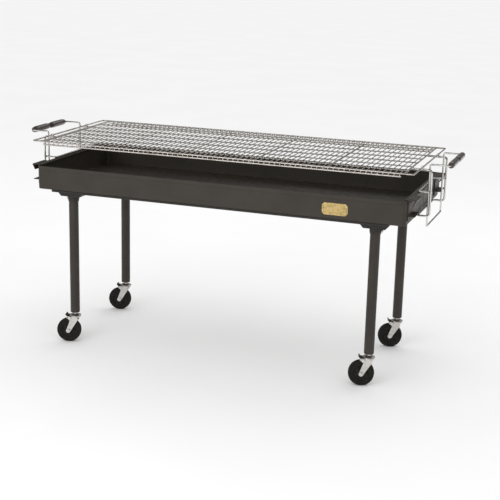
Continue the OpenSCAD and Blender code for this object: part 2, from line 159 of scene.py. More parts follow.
def sweep(bm, path, radius, sides=16, closed=False, scales=None):
    """Adds a round wire along a path, with domed ends if it is open."""
    stations = [(p, s) for p, s in zip(path, scales or [1.0] * len(path))]
    if not closed:
        dome = ((0.55, 1.0), (0.25, 0.88), (0.08, 0.6), (0.0, 0.0))
        head = (path[1] - path[0]).normalized()
        tail = (path[-2] - path[-1]).normalized()
        stations[0:1] = [(path[0] + head * radius * d, s) for d, s in reversed(dome)]
        stations[-1:] = [(path[-1] + tail * radius * d, s) for d, s in dome]
    count = len(stations)
    normal = (path[1] - path[0]).orthogonal()
    rings = []
    for i, (point, scale) in enumerate(stations):
        before = stations[i - 1][0] if closed or i else point
        after = stations[(i + 1) % count][0] if closed or i < count - 1 else point
        tangent = (after - before).normalized()
        normal = (normal - tangent * normal.dot(tangent)).normalized()
        side = tangent.cross(normal)
        turns = range(sides if scale else 1)
        rings.append([
            bm.verts.new(point + radius * scale * (
                math.cos(math.tau * k / sides) * normal + math.sin(math.tau * k / sides) * side))
            for k in turns
        ])
    if closed:
        rings.append(rings[0])
    skin(bm, rings)


def rod(bm, start, end, radius, sides=12):
    """Adds a straight round rod with domed ends."""
    sweep(bm, [Vector(start), Vector(end)], radius, sides)


def ripples(count):
    """Scales that ripple a weld bead."""
    return [0.85 + 0.15 * abs(math.sin(1.1 * i)) for i in range(count)]


def bead(bm, start, end):
    """Adds a rippled weld bead along a straight seam."""
    start = Vector(start)
    end = Vector(end)
    count = max(4, round((end - start).length / BEAD_STEP))
    path = [start.lerp(end, i / count) for i in range(count + 1)]
    sweep(bm, path, BEAD_R, 8, scales=ripples(count + 1))


def ring_bead(bm, centre, ring_r):
    """Adds a rippled weld bead around an upright tube."""
    count = round(math.tau * ring_r / BEAD_STEP)
    turns = [math.tau * i / count for i in range(count)]
    path = [Vector(centre) + ring_r * Vector((math.cos(a), math.sin(a), 0)) for a in turns]
    sweep(bm, path, BEAD_R, 8, closed=True, scales=ripples(count))


def prism(outline, depth, place):
    """A flat outline in place's XY plane, extruded along its Z, as a part of its own."""
    part = bmesh.new()
    low = [part.verts.new(place @ Vector((x, y, 0))) for x, y in outline]
    high = [part.verts.new(place @ Vector((x, y, depth))) for x, y in outline]
    part.faces.new(low[::-1])
    part.faces.new(high)
    skin(part, [low, high])
    return part


def block(low, high):
    """A box between two corners, as a part of its own."""
    outline = [(low[0], low[1]), (high[0], low[1]), (high[0], high[1]), (low[0], high[1])]
    return prism(outline, high[2] - low[2], Matrix.Translation((0, 0, low[2])))


def add(bm, part, edge=0.0, segments=2):
    """Rounds a part's sharp edges and adds it to a piece."""
    bmesh.ops.recalc_face_normals(part, faces=part.faces)
    if edge:
        sharp = [e for e in part.edges if e.is_manifold and e.calc_face_angle() > math.radians(28)]
        bmesh.ops.bevel(part, geom=sharp, offset=edge, offset_type="OFFSET", segments=segments,
                        profile=0.5, affect="EDGES", clamp_overlap=True)
    mesh = bpy.data.meshes.new("part")
    part.to_mesh(mesh)
    part.free()
    bm.from_mesh(mesh)
    bpy.data.meshes.remove(mesh)


def arc(centre, radius, start, end, steps):
    """Points of an arc, angles in degrees."""
    angles = [math.radians(start + (end - start) * i / steps) for i in range(steps + 1)]
    return [(centre[0] + radius * math.cos(a), centre[1] + radius * math.sin(a)) for a in angles]


def round_rect(length, width, radius, steps=8):
    """Outline of a rectangle with round corners, centred."""
    x = length / 2 - radius
    y = width / 2 - radius
    return (arc((x, y), radius, 0, 90, steps) + arc((-x, y), radius, 90, 180, steps)
            + arc((-x, -y), radius, 180, 270, steps) + arc((x, -y), radius, 270, 360, steps))


def pan_shell(bm, centre, length, width, depth, corner_r, fold_r, flip=1, knee=0.0, slope=0.0):
    """Adds a folded sheet pan. Its floor is at centre, and its walls rise by depth along flip.
    Past the knee's height, the end walls lean in by slope."""
    edge = 0.0007
    folds = [90 * i / 5 for i in range(6)]
    levels = [(fold_r * (1 - math.sin(math.radians(a))), fold_r * (1 - math.cos(math.radians(a))))
              for a in folds]
    levels += [(0, knee)] if slope else []
    levels += [(0, depth - edge), (edge * 0.3, depth - edge * 0.3), (edge, depth)]
    levels += [(SHEET - edge, depth), (SHEET - edge * 0.3, depth - edge * 0.3),
               (SHEET, depth - edge)]
    levels += [(SHEET, knee)] if slope else []
    inner = max(fold_r - SHEET, 0.001)
    levels += [(SHEET + inner * (1 - math.sin(math.radians(a))),
                SHEET + inner * (1 - math.cos(math.radians(a)))) for a in reversed(folds)]
    rings = []
    for inset, height in levels:
        lean = slope * max(0.0, height - knee) / (depth - knee)
        outline = round_rect(length - 2 * (inset + lean), width - 2 * inset,
                             max(corner_r - inset, 0.001))
        rings.append([bm.verts.new(Vector(centre) + Vector((x, y, flip * height)))
                      for x, y in outline])
    skin(bm, rings)
    bm.faces.new(rings[0])
    bm.faces.new(rings[-1])


# ---------- materials ----------

def start_material(name, colour, metallic, roughness):
    """A Principled material and its object coordinates, with what is needed to build on it."""
    material = bpy.data.materials.new(name)
    material.use_nodes = True
    nodes = material.node_tree.nodes
    links = material.node_tree.links
    shader = nodes["Principled BSDF"]
    shader.inputs["Base Color"].default_value = (*colour, 1)
    shader.inputs["Metallic"].default_value = metallic
    shader.inputs["Roughness"].default_value = roughness
    coords = nodes.new("ShaderNodeTexCoord")
    return material, nodes, links, shader, coords.outputs["Object"]


def noise(nodes, links, coords, scale, detail=3.0, stretch=(1, 1, 1)):
    """Noise in the piece's own coordinates. Scale is in waves per metre."""
    mapping = nodes.new("ShaderNodeMapping")
    mapping.inputs["Scale"].default_value = stretch
    links.new(coords, mapping.inputs["Vector"])
    texture = nodes.new("ShaderNodeTexNoise")
    texture.inputs["Scale"].default_value = scale
    texture.inputs["Detail"].default_value = detail
    links.new(mapping.outputs["Vector"], texture.inputs["Vector"])
    return texture.outputs["Fac"]


def ramp(nodes, links, value, stops):
    """Colour ramp with (place, colour) stops."""
    node = nodes.new("ShaderNodeValToRGB")
    links.new(value, node.inputs["Fac"])
    elements = node.color_ramp.elements
    while len(elements) < len(stops):
        elements.new(0.5)
    for element, (place, colour) in zip(elements, stops):
        element.position = place
        element.color = (*colour, 1)
    return node.outputs["Color"]


def spread(nodes, links, value, low, high):
    """Maps the middle of a noise to a range of numbers."""
    node = nodes.new("ShaderNodeMapRange")
    node.inputs["From Min"].default_value = 0.3
    node.inputs["From Max"].default_value = 0.7
    node.inputs["To Min"].default_value = low
    node.inputs["To Max"].default_value = high
    links.new(value, node.inputs["Value"])
    return node.outputs["Result"]


def bumps(nodes, links, shader, heights):
    """Stacks (height, distance, strength) bumps on a shader's normal."""
    normal = None
    for height, distance, strength in heights:
        node = nodes.new("ShaderNodeBump")
        node.inputs["Distance"].default_value = distance
        node.inputs["Strength"].default_value = strength
        links.new(height, node.inputs["Height"])
        if normal:
            links.new(normal, node.inputs["Normal"])
        normal = node.outputs["Normal"]
    links.new(normal, shader.inputs["Normal"])


def paint(name, dark, light, roughness):
    """Satin heat paint: fine orange peel, cloudy tone and a few polished patches."""
    material, nodes, links, shader, coords = start_material(name, dark, 0.0, roughness)
    shader.inputs["Specular IOR Level"].default_value = 0.38
    tone = noise(nodes, links, coords, 9, 4)
    links.new(ramp(nodes, links, tone, [(0.32, dark), (0.68, light)]), shader.inputs["Base Color"])
    patches = noise(nodes, links, coords, 38, 5)
    links.new(spread(nodes, links, patches, roughness - 0.07, roughness + 0.08),
              shader.inputs["Roughness"])
    bumps(nodes, links, shader, [
        (noise(nodes, links, coords, 420, 2), 0.0004, 0.22),
        (noise(nodes, links, coords, 1700, 2), 0.0002, 0.2),
    ])
    return material


def plated(name, bright, tarnish, roughness):
    """Plated wire or sheet: cloudy tarnish, a haze and fine pits."""
    material, nodes, links, shader, coords = start_material(name, bright, 1.0, roughness)
    clouds = noise(nodes, links, coords, 16, 5)
    colours = ramp(nodes, links, clouds, [(0.36, bright), (0.55, bright), (0.74, tarnish)])
    links.new(colours, shader.inputs["Base Color"])
    haze = noise(nodes, links, coords, 90, 4)
    links.new(spread(nodes, links, haze, roughness - 0.06, roughness + 0.1),
              shader.inputs["Roughness"])
    bumps(nodes, links, shader, [(noise(nodes, links, coords, 700, 3), 0.0002, 0.07)])
    return material


def rubber(name, colour, roughness):
    """Matt rubber or moulded plastic with a fine grain and a little dust."""
    material, nodes, links, shader, coords = start_material(name, colour, 0.0, roughness)
    dust = noise(nodes, links, coords, 55, 5)
    shader.inputs["Specular IOR Level"].default_value = 0.22
    dusty = tuple(c * 1.6 + 0.003 for c in colour)
    links.new(ramp(nodes, links, dust, [(0.42, colour), (0.78, dusty)]),
              shader.inputs["Base Color"])
    links.new(spread(nodes, links, dust, roughness - 0.06, roughness + 0.06),
              shader.inputs["Roughness"])
    bumps(nodes, links, shader, [(noise(nodes, links, coords, 1300, 3), 0.0003, 0.25)])
    return material


def stained_wood(name):
    """Dark stained and varnished wood, its grain along Y."""
    material, nodes, links, shader, coords = start_material(name, (0.05, 0.02, 0.012), 0.0, 0.36)
    grain = noise(nodes, links, coords, 60, 6, (3.2, 0.22, 3.2))
    brown = ramp(nodes, links, grain, [
        (0.30, (0.010, 0.005, 0.004)), (0.50, (0.026, 0.012, 0.008)),
        (0.72, (0.070, 0.032, 0.020))])
    links.new(brown, shader.inputs["Base Color"])
    links.new(spread(nodes, links, grain, 0.30, 0.44), shader.inputs["Roughness"])
    shader.inputs["Coat Weight"].default_value = 0.8
    shader.inputs["Coat Roughness"].default_value = 0.13
    bumps(nodes, links, shader, [(grain, 0.0004, 0.2)])
    return material


def cast_brass(name):
    """Cast and lacquered brass with a hammered ground."""
    material, nodes, links, shader, coords = start_material(name, (0.72, 0.52, 0.22), 1.0, 0.34)
    clouds = noise(nodes, links, coords, 140, 4)
    links.new(ramp(nodes, links, clouds, [(0.3, (0.36, 0.26, 0.10)), (0.62, (0.66, 0.50, 0.22))]),
              shader.inputs["Base Color"])
    links.new(spread(nodes, links, clouds, 0.28, 0.46), shader.inputs["Roughness"])
    bumps(nodes, links, shader, [(noise(nodes, links, coords, 650, 2), 0.0006, 0.35)])
    return material


MATERIALS = {
    "trough_paint": paint("trough_heat_paint", (0.028, 0.0225, 0.0160), (0.035, 0.0285, 0.0205), 0.46),
    "frame_paint": paint("frame_satin_paint", (0.015, 0.0125, 0.0095), (0.021, 0.0175, 0.0135), 0.46),
    "leg_paint": paint("leg_satin_paint", (0.025, 0.0200, 0.0150), (0.033, 0.0265, 0.0200), 0.44),
    "zinc": plated("caster_zinc", (0.70, 0.68, 0.65), (0.56, 0.53, 0.49), 0.32),
    "brake_paint": rubber("brake_black", (0.012, 0.012, 0.012), 0.42),
    "rubber": rubber("tyre_rubber", (0.010, 0.0088, 0.0072), 0.66),
    "hub_plastic": rubber("hub_moulding", (0.012, 0.0108, 0.0092), 0.56),
    "badge_brass": cast_brass("badge_cast_brass"),
    "grate_plating": plated("grate_nickel", (0.60, 0.56, 0.52), (0.34, 0.28, 0.22), 0.24),
    "rack_plating": plated("rack_nickel", (0.66, 0.65, 0.62), (0.48, 0.45, 0.41), 0.18),
    "grip_wood": stained_wood("grip_stained_wood"),
}


def piece(name, bm, body, slot, *nodes):
    """Turns a bmesh into a piece that rides on a body and stands for CAD nodes."""
    bmesh.ops.recalc_face_normals(bm, faces=bm.faces)
    for face in bm.faces:
        face.smooth = True
    for edge in bm.edges:
        edge.smooth = edge.is_manifold and edge.calc_face_angle(0.0) < math.radians(46)
    mesh = bpy.data.meshes.new(name)
    bm.to_mesh(mesh)
    bm.free()
    obj = bpy.data.objects.new(name, mesh)
    bpy.context.scene.collection.objects.link(obj)
    mesh.materials.append(MATERIALS[slot])
    weighted = obj.modifiers.new("flat_faces_stay_flat", "WEIGHTED_NORMAL")
    weighted.keep_sharp = True
    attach(obj, body)
    if nodes:
        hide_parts(*nodes)
    return obj


def joint(name):
    """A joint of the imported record."""
    return next(j for j in frame["joints"] if j["name"] == name)


# ---------- trough, rails and brackets ----------

def make_trough():
    low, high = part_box("trough")
    length = high.x - low.x
    width = high.y - low.y - 2 * HEM_T
    height = high.z - low.z
    bm = bmesh.new()
    pan_shell(bm, (0, 0, low.z), length, width, height, CORNER_R, 0.0045)
    for sign in ENDS.values():
        y = sign * width / 2
        ends = (y - sign * 0.0004, y + sign * HEM_T)
        fold = block((-length / 2 + CORNER_R, min(ends), high.z - HEM_H),
                     (length / 2 - CORNER_R, max(ends), high.z - 0.0002))
        add(bm, fold, 0.0011, 3)
    piece("trough_shell", bm, "cart", "trough_paint", "trough")


def make_end_rail(side, sign):
    low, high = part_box("end_rail_" + side)
    bm = bmesh.new()
    add(bm, block(low, high), 0.0008, 3)
    wall_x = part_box("trough")[1].x * sign
    bead_x = wall_x + sign * BEAD_OFF
    bead_z = low.z - BEAD_OFF
    bead_pitch = 0.072
    half_bead = 0.011
    for k in range(-2, 3):
        y = k * bead_pitch
        bead(bm, (bead_x, y - half_bead, bead_z), (bead_x, y + half_bead, bead_z))
    piece("end_rail_%s_bar" % side, bm, "cart", "trough_paint", "end_rail_" + side)


def make_corner_bracket(corner, sx):
    node = "corner_bracket_" + corner
    low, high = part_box(node)
    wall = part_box("trough")[1].x
    wing = (high.x if sx > 0 else -low.x) - wall
    inside = wall - (low.x if sx > 0 else -high.x)
    top = high.z
    rim = top - SHEET
    web_low = low.z - rim
    lip_in = wing - LIP_IN
    outline = [
        (-inside, SHEET), (wing, SHEET), (wing, 0), (lip_in, -LIP_DROP),
        (lip_in - SHEET, -LIP_DROP), (wing - 2 * SHEET, 0), (WEB_T, 0), (WEB_T, FIN_TOP),
        (FIN_OUT, FIN_TOP), (FIN_OUT, FIN_TOP - SHEET), (WEB_T, FIN_TOP - SHEET),
        (WEB_T, web_low), (0, web_low), (0, 0), (-inside, 0),
    ]
    place = frame_at((sx * wall, high.y if sx > 0 else low.y, rim), (sx, 0, 0), (0, 0, 1))
    bm = bmesh.new()
    add(bm, prism(outline, high.y - low.y, place), 0.0007, 2)
    for y in (low.y, high.y):
        bead(bm, (sx * (wall + 0.001), y, rim - 0.006),
             (sx * (wall + 0.001), y, rim + web_low + 0.004))
    piece(CORNER_NAMES[corner] + "_bracket", bm, "cart", "trough_paint", node)


# ---------- underframe and legs ----------

def make_frame_bar(end, sign):
    node = "frame_bar_" + end
    low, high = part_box(node)
    bm = bmesh.new()
    add(bm, block(low, high), 0.0012, 3)
    trough_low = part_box("trough")[0]
    bead_y = (low.y if sign > 0 else high.y) - sign * BEAD_OFF
    bead_z = trough_low.z - BEAD_OFF
    bead_pitch = 0.15
    half_bead = 0.014
    for k in range(-4, 5):
        x = k * bead_pitch
        bead(bm, (x - half_bead, bead_y, bead_z), (x + half_bead, bead_y, bead_z))
    piece("frame_bar_%s_steel" % end, bm, "cart", "frame_paint", node)


def make_leg(corner):
    name = CORNER_NAMES[corner]
    low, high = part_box("leg_pan_" + corner)
    centre = (low + high) / 2
    bm = bmesh.new()
    pan_shell(bm, (centre.x, centre.y, high.z), high.x - low.x, high.y - low.y,
              high.z - low.z, 0.0015, 0.0035, flip=-1, knee=PAN_KNEE, slope=PAN_SLOPE)
    for y in (low.y + 0.001, high.y - 0.001):
        bead(bm, (low.x + 0.01, y, high.z), (high.x - 0.01, y, high.z))
    piece(name + "_pan", bm, "cart", "frame_paint", "leg_pan_" + corner)

    collar_low, collar_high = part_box("leg_collar_" + corner)
    leg_low, leg_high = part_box("leg_" + corner)
    outer = (collar_high.x - collar_low.x) / 2
    inner = (leg_high.x - leg_low.x) / 2
    axis = along((0, 0, 1), (centre.x, centre.y, 0))
    bm = bmesh.new()
    bottom = collar_low.z
    lathe(bm, [
        (inner + 0.0001, bottom), (inner + 0.0012, bottom), (inner + 0.0019, bottom + 0.0008),
        (outer - 0.0009, bottom + 0.0068), (outer - 0.0002, bottom + 0.0082),
        (outer, bottom + 0.0095), (outer, low.z + 0.001), (outer, collar_high.z),
        (inner + 0.0001, collar_high.z),
    ], axis, 64, closed=True)
    ring_bead(bm, (centre.x, centre.y, high.z - SHEET - BEAD_OFF), outer + BEAD_OFF)
    piece(name + "_collar", bm, "cart", "frame_paint", "leg_collar_" + corner)

    bm = bmesh.new()
    foot = 0.0042
    plug_bore = STEM_R + 0.0001
    plug_top = leg_low.z + 0.046
    round_foot = [(inner - foot + foot * math.sin(math.radians(a)),
                   leg_low.z + foot - foot * math.cos(math.radians(a))) for a in range(0, 91, 15)]
    lathe(bm, [(plug_bore, leg_low.z)] + round_foot + [
        (inner, plug_top - 0.001), (inner - 0.0003, plug_top - 0.0002), (inner, plug_top + 0.0006),
        (inner, leg_high.z), (inner - LEG_WALL, leg_high.z), (inner - LEG_WALL, plug_top),
        (plug_bore, plug_top),
    ], axis, 64, closed=True)
    piece(name + "_leg_tube", bm, "cart", "leg_paint", "leg_" + corner)


def make_collar_screws():
    bm = bmesh.new()
    for corner, sx in CORNERS.items():
        low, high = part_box("leg_collar_" + corner)
        pan_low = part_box("leg_pan_" + corner)[0].z
        face = high.x if sx > 0 else low.x
        place = along((sx, 0, 0), (face, (low.y + high.y) / 2, (low.z + pan_low) / 2))
        lathe(bm, [
            (0, -0.004), (0.003, -0.004), (0.003, 0.0005), (0.0044, 0.0005), (0.005, 0.0011),
            (0.005, 0.0042), (0.0047, 0.0051), (0.0040, 0.0055), (0.0027, 0.0055),
            (0.0024, 0.0051), (0.0024, 0.0032), (0, 0.0030),
        ], place, 24)
        for k in range(20):
            spin = Matrix.Rotation(math.tau * k / 20, 4, "Z")
            ridge = block((0.0049, -0.0003, 0.0013), (0.0052, 0.0003, 0.0041))
            bmesh.ops.transform(ridge, matrix=place @ spin, verts=ridge.verts)
            add(bm, ridge)
    piece("collar_set_screws", bm, "cart", "zinc", "collar_screws")


# ---------- casters ----------

def caster_places(corner):
    """The caster's own frame: origin on the floor under the swivel, X ahead, Y along the axle."""
    swivel = Vector(joint("swivel_" + corner)["pos_m"])
    axle_dir = Vector(joint("wheel_" + corner)["axis"])
    return frame_at((swivel.x, swivel.y, 0), axle_dir.cross(Vector((0, 0, 1))), axle_dir)


def touch(point, centre, radius, side):
    """Where a line from point touches a circle, on its left (1) or right (-1)."""
    dx = point[0] - centre[0]
    dy = point[1] - centre[1]
    angle = math.atan2(dy, dx) + side * math.acos(radius / math.hypot(dx, dy))
    return math.degrees(angle)


def hexagon(across, turn=0.0):
    """Outline of a hexagon, from its width across flats."""
    radius = across / math.sqrt(3)
    angles = [math.radians(60 * i + turn) for i in range(6)]
    return [(radius * math.cos(a), radius * math.sin(a)) for a in angles]


def make_caster(corner):
    name = CORNER_NAMES[corner]
    place = caster_places(corner)
    wheel_low, wheel_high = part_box("tyre_" + corner)
    wheel_r = (wheel_high.z - wheel_low.z) / 2
    axle_at = place.inverted() @ Vector(joint("wheel_" + corner)["pos_m"])
    ear_at = place.inverted() @ Vector(joint("brake_" + corner)["pos_m"])
    stem_low, stem_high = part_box("caster_stem_" + corner)
    crown = stem_low.z + 0.004
    make_stem(corner, name, place, stem_high.z, crown)
    make_fork(corner, name, place, axle_at, ear_at, crown)
    make_axle(corner, name, place, axle_at)
    make_wheel(corner, name, place, axle_at, wheel_r)
    make_brake(corner, name, place, ear_at)


def make_stem(corner, name, place, top, crown):
    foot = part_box("leg_" + corner)[0].z
    race = crown + 0.00635
    bm = bmesh.new()
    lathe(bm, [
        (0, crown - 0.004), (STEM_R, crown - 0.004), (0.0069, crown - 0.003),
        (0.007, crown - BODY_GAP), (0.005, crown - BODY_GAP), (0.005, race),
        (0.0242, race), (0.025, race + 0.0008),
        (0.025, race + 0.0024), (0.0243, race + 0.0033), (0.0225, race + 0.0048),
        (0.0200, race + 0.0061), (0.0150, race + 0.0072), (0.0118, race + 0.0084),
        (0.0092, race + 0.0100), (0.009, race + 0.0115), (0.009, foot),
        (STEM_R, foot), (STEM_R, top - 0.002), (0.0045, top), (0, top),
    ], place, 56)
    ball_count = 18
    ball_r = 0.0017
    ball_ring = 0.0205
    for k in range(ball_count):
        angle = math.tau * k / ball_count
        ball = bmesh.new()
        bmesh.ops.create_icosphere(ball, subdivisions=2, radius=ball_r)
        spot = place @ Vector((ball_ring * math.cos(angle), ball_ring * math.sin(angle), race - 0.0012))
        bmesh.ops.translate(ball, vec=spot, verts=ball.verts)
        add(bm, ball)
    piece(name + "_swivel_stem", bm, "cart", "zinc", "caster_stem_" + corner)


def make_fork(corner, name, place, axle_at, ear_at, crown):
    top = crown + FORK_T
    end_r = 0.009
    front = 0.014
    back = -0.014
    axle = (axle_at.x, axle_at.z)
    ear = (ear_at.x, ear_at.z)
    left = (back, top)
    elbow = (front, top - 0.012)
    right_angle = touch(elbow, axle, end_r, -1)
    left_angle = touch(left, axle, end_r, 1)
    leg_outline = [left, (front, top), elbow] + arc(axle, end_r, right_angle, left_angle - 360, 14)
    ear_r = 0.005
    ear_outline = [(back + 0.004, top), (back - 0.002, crown - 0.016)]
    ear_outline += arc(ear, ear_r, 270, 90, 10)
    bm = bmesh.new()
    for sign in (-1, 1):
        y = sign * FORK_IN if sign < 0 else FORK_IN + FORK_T
        sheet_place = place @ frame_at((0, y, 0), (1, 0, 0), (0, 0, 1))
        add(bm, prism(leg_outline, FORK_T, sheet_place), 0.0008, 3)
        add(bm, prism(ear_outline, FORK_T, sheet_place), 0.0006, 2)
        outer = sign * (FORK_IN + FORK_T)
        foot = Vector((axle[0], outer - sign * 0.0006, axle[1]))
        head = Vector((0, foot.y, top))
        rib = bmesh.new()
        sweep(rib, [place @ foot.lerp(head, 0.30 + 0.07 * i) for i in range(7)], 0.0016, 12)
        add(bm, rib)
    lathe(bm, [
        (0.00506, crown), (0.0222, crown), (0.023, crown + 0.0008), (0.023, top + 0.0020),
        (0.0222, top + 0.0028), (0.0172, top + 0.0028), (0.0160, top + 0.0018), (0.0160, top),
        (0.00506, top),
    ], place, 56, closed=True)
    plate = block((back + 0.004, -FORK_IN - FORK_T, crown), (front, FORK_IN + FORK_T, top))
    bmesh.ops.transform(plate, matrix=place, verts=plate.verts)
    add(bm, plate, 0.0009, 3)
    piece(name + "_fork", bm, "caster_" + corner, "zinc", "fork_" + corner)


def make_axle(corner, name, place, axle_at):
    fork_out = FORK_IN + FORK_T
    bm = bmesh.new()
    across = 0.0147
    head = 0.006
    axis = place @ frame_at(axle_at, (1, 0, 0), (0, 0, 1))
    lathe(bm, [(0, -fork_out - 0.001), (0.005, -fork_out - 0.001), (0.005, fork_out + 0.001),
               (0, fork_out + 0.001)], axis, 32)
    for sign in (-1, 1):
        side_place = axis @ Matrix.Translation((0, 0, sign * fork_out))
        if sign < 0:
            side_place = side_place @ Matrix.Rotation(math.pi, 4, "X")
        lathe(bm, [(0, 0), (0.0093, 0), (0.0095, 0.0002), (0.0095, 0.0008), (0.0092, 0.0011),
                   (0, 0.0011)], side_place, 40)
        nut = prism(hexagon(across, 15), head - 0.0016,
                    side_place @ Matrix.Translation((0, 0, 0.0010)))
        add(bm, nut, 0.0007, 2)
        lathe(bm, [(0, head - 0.0012), (0.0041, head - 0.0012), (0.0041, head - 0.0003),
                   (0.0037, head), (0, head)], side_place, 24)
    piece(name + "_axle_bolt", bm, "caster_" + corner, "zinc", "axle_" + corner)


def make_wheel(corner, name, place, axle_at, wheel_r):
    half = 0.015
    hub_r = wheel_r * 0.7
    axis = place @ frame_at(axle_at, (1, 0, 0), (0, 0, 1))
    crown_drop = 0.0012
    tread = [(wheel_r - crown_drop * (y / (half - 0.004)) ** 2, y)
             for y in [(half - 0.004) * (i / 6) for i in range(-6, 7)]]
    shoulder = [(wheel_r - crown_drop - 0.0013, half - 0.0014),
                (wheel_r - crown_drop - 0.0040, half - 0.0002)]
    wall = [(hub_r + 0.0095, half), (hub_r + 0.0086, half - 0.0007), (hub_r + 0.0077, half),
            (hub_r + 0.0062, half), (hub_r + 0.0050, half - 0.0012), (hub_r + 0.0038, half),
            (hub_r + 0.0008, half - 0.0002), (hub_r + 0.0001, half - 0.0012)]
    upper = shoulder + wall
    lower = [(r, -y) for r, y in reversed(upper)]
    bm = bmesh.new()
    lathe(bm, lower + tread + upper, axis, 128, closed=True)
    piece(name + "_tyre", bm, "wheel_" + corner, "rubber", "tyre_" + corner)

    bm = bmesh.new()
    wide = 0.0168
    face = [(0.0052, wide), (0.0112, wide), (0.0120, wide - 0.0008), (0.0128, 0.0085),
            (0.0150, 0.0068), (hub_r - 0.0085, 0.0064), (hub_r - 0.0062, 0.0082),
            (hub_r - 0.0044, half - 0.0026),
            (hub_r - 0.0036, half - 0.0020), (hub_r - 0.0004, half - 0.0020), (hub_r, half - 0.0026)]
    lathe(bm, [(r, -y) for r, y in face] + list(reversed(face)), axis, 96, closed=True)
    for k in range(6):
        for sign in (-1, 1):
            rib = prism([(0.0115, 0.0060), (hub_r - 0.0050, 0.0060), (hub_r - 0.0050, 0.0095),
                         (0.0120, 0.0118)], 0.0030, frame_at((0, 0.0015, 0), (1, 0, 0), (0, 0, 1)))
            turn = Matrix.Rotation(math.tau * k / 6, 4, "Z")
            flip = Matrix.Rotation(math.pi if sign < 0 else 0, 4, "X")
            bmesh.ops.transform(rib, matrix=axis @ turn @ flip, verts=rib.verts)
            add(bm, rib, 0.0006, 2)
    piece(name + "_hub", bm, "wheel_" + corner, "hub_plastic", "hub_" + corner)


def make_brake(corner, name, place, ear_at):
    half = FORK_IN - 0.002
    axis = place @ frame_at(ear_at, (1, 0, 0), (0, 0, 1))
    bm = bmesh.new()
    pin_half = FORK_IN + FORK_T
    lathe(bm, [(0, -pin_half), (0.0021, -pin_half), (0.0025, -pin_half + 0.0004),
               (0.0025, pin_half - 0.0004), (0.0021, pin_half), (0, pin_half)], axis, 24)
    start = axis @ Matrix.Translation((0, 0, -half))
    lean = math.radians(38)
    barrel_r = 0.0046
    nose_r = 0.0022
    tab_half = 0.0015
    tab_top = 0.016
    up = Vector((-math.sin(lean), math.cos(lean)))
    out = Vector((up.y, -up.x))
    base = arc((0, 0), barrel_r, 0, 345, 23)
    add(bm, prism(base, 2 * half, start), 0.0004, 1)
    nose_at = (0.0048 * math.sin(math.radians(-20)), -0.0048 * math.cos(math.radians(20)))
    add(bm, prism(arc(nose_at, nose_r, 0, 345, 23), 2 * half, start), 0.0004, 1)
    tab = [up * 0.002 - out * tab_half, up * 0.002 + out * tab_half,
           up * (tab_top - 0.0012) + out * tab_half,
           up * tab_top + out * 0.0003, up * tab_top - out * tab_half]
    add(bm, prism([tuple(p) for p in reversed(tab)], 2 * half, start), 0.0006, 2)
    for k in range(3):
        spot = up * (0.0065 + 0.0032 * k) - out * tab_half
        ridge = bmesh.new()
        lathe(ridge, [(0, 0.004), (0.0006, 0.0044), (0.0007, 0.006), (0.0007, 2 * half - 0.006),
                      (0.0006, 2 * half - 0.0044), (0, 2 * half - 0.004)],
              start @ Matrix.Translation((spot.x, spot.y, 0)), 10)
        add(bm, ridge)
    piece(name + "_brake_lever", bm, "brake_lever_" + corner, "brake_paint", "brake_" + corner)


# ---------- badge ----------

def make_badge():
    low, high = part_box("badge")
    centre = (low + high) / 2
    place = frame_at((centre.x, high.y, centre.z), (1, 0, 0), (0, 0, 1))
    half_w = (high.x - low.x) / 2
    half_h = (high.z - low.z) / 2
    thick = high.y - low.y

    def octagon(inset, cut):
        w = half_w - inset
        h = half_h - inset
        return [(-w + cut, -h), (w - cut, -h), (w, -h + cut), (w, h - cut),
                (w - cut, h), (-w + cut, h), (-w, h - cut), (-w, -h + cut)]

    def ring_at(inset, cut, depth):
        return [bm.verts.new(place @ Vector((x, y, depth))) for x, y in octagon(inset, cut)]

    bm = bmesh.new()
    levels = [(0, 0.0090, 0), (0, 0.0090, thick - 0.0006), (0.0006, 0.0088, thick),
              (0.0032, 0.0076, thick), (0.0039, 0.0073, thick - 0.0007)]
    rings = [ring_at(*level) for level in levels]
    skin(bm, rings)
    bm.faces.new(rings[0])
    bm.faces.new(rings[-1])
    panel = [ring_at(0.0090, 0.0052, thick - 0.0008), ring_at(0.0094, 0.0050, thick - 0.0001),
             ring_at(0.0100, 0.0047, thick - 0.0001)]
    skin(bm, panel)
    bm.faces.new(panel[-1])
    bm.faces.new(panel[0])
    piece("badge_plate", bm, "cart", "badge_brass", "badge")

    low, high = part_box("badge_rivets")
    bm = bmesh.new()
    for x in (low.x + 0.003, high.x - 0.003):
        lathe(bm, [(0.003, -0.0004), (0.003, 0.0003), (0.0026, 0.0009), (0.0018, 0.0013),
                   (0.0008, 0.00155), (0, 0.0016)],
              along((0, -1, 0), (x, high.y, (low.z + high.z) / 2)), 24)
    piece("badge_rivet_heads", bm, "cart", "badge_brass", "badge_rivets")


# ---------- grate ----------

def grate_sizes():
    """Half length and half depth of the grate's frame wires, and their heights."""
    low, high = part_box("grate_frame")
    return high.x - FRAME_R, high.y - FRAME_R, high.z - FRAME_R, low.z + FRAME_R


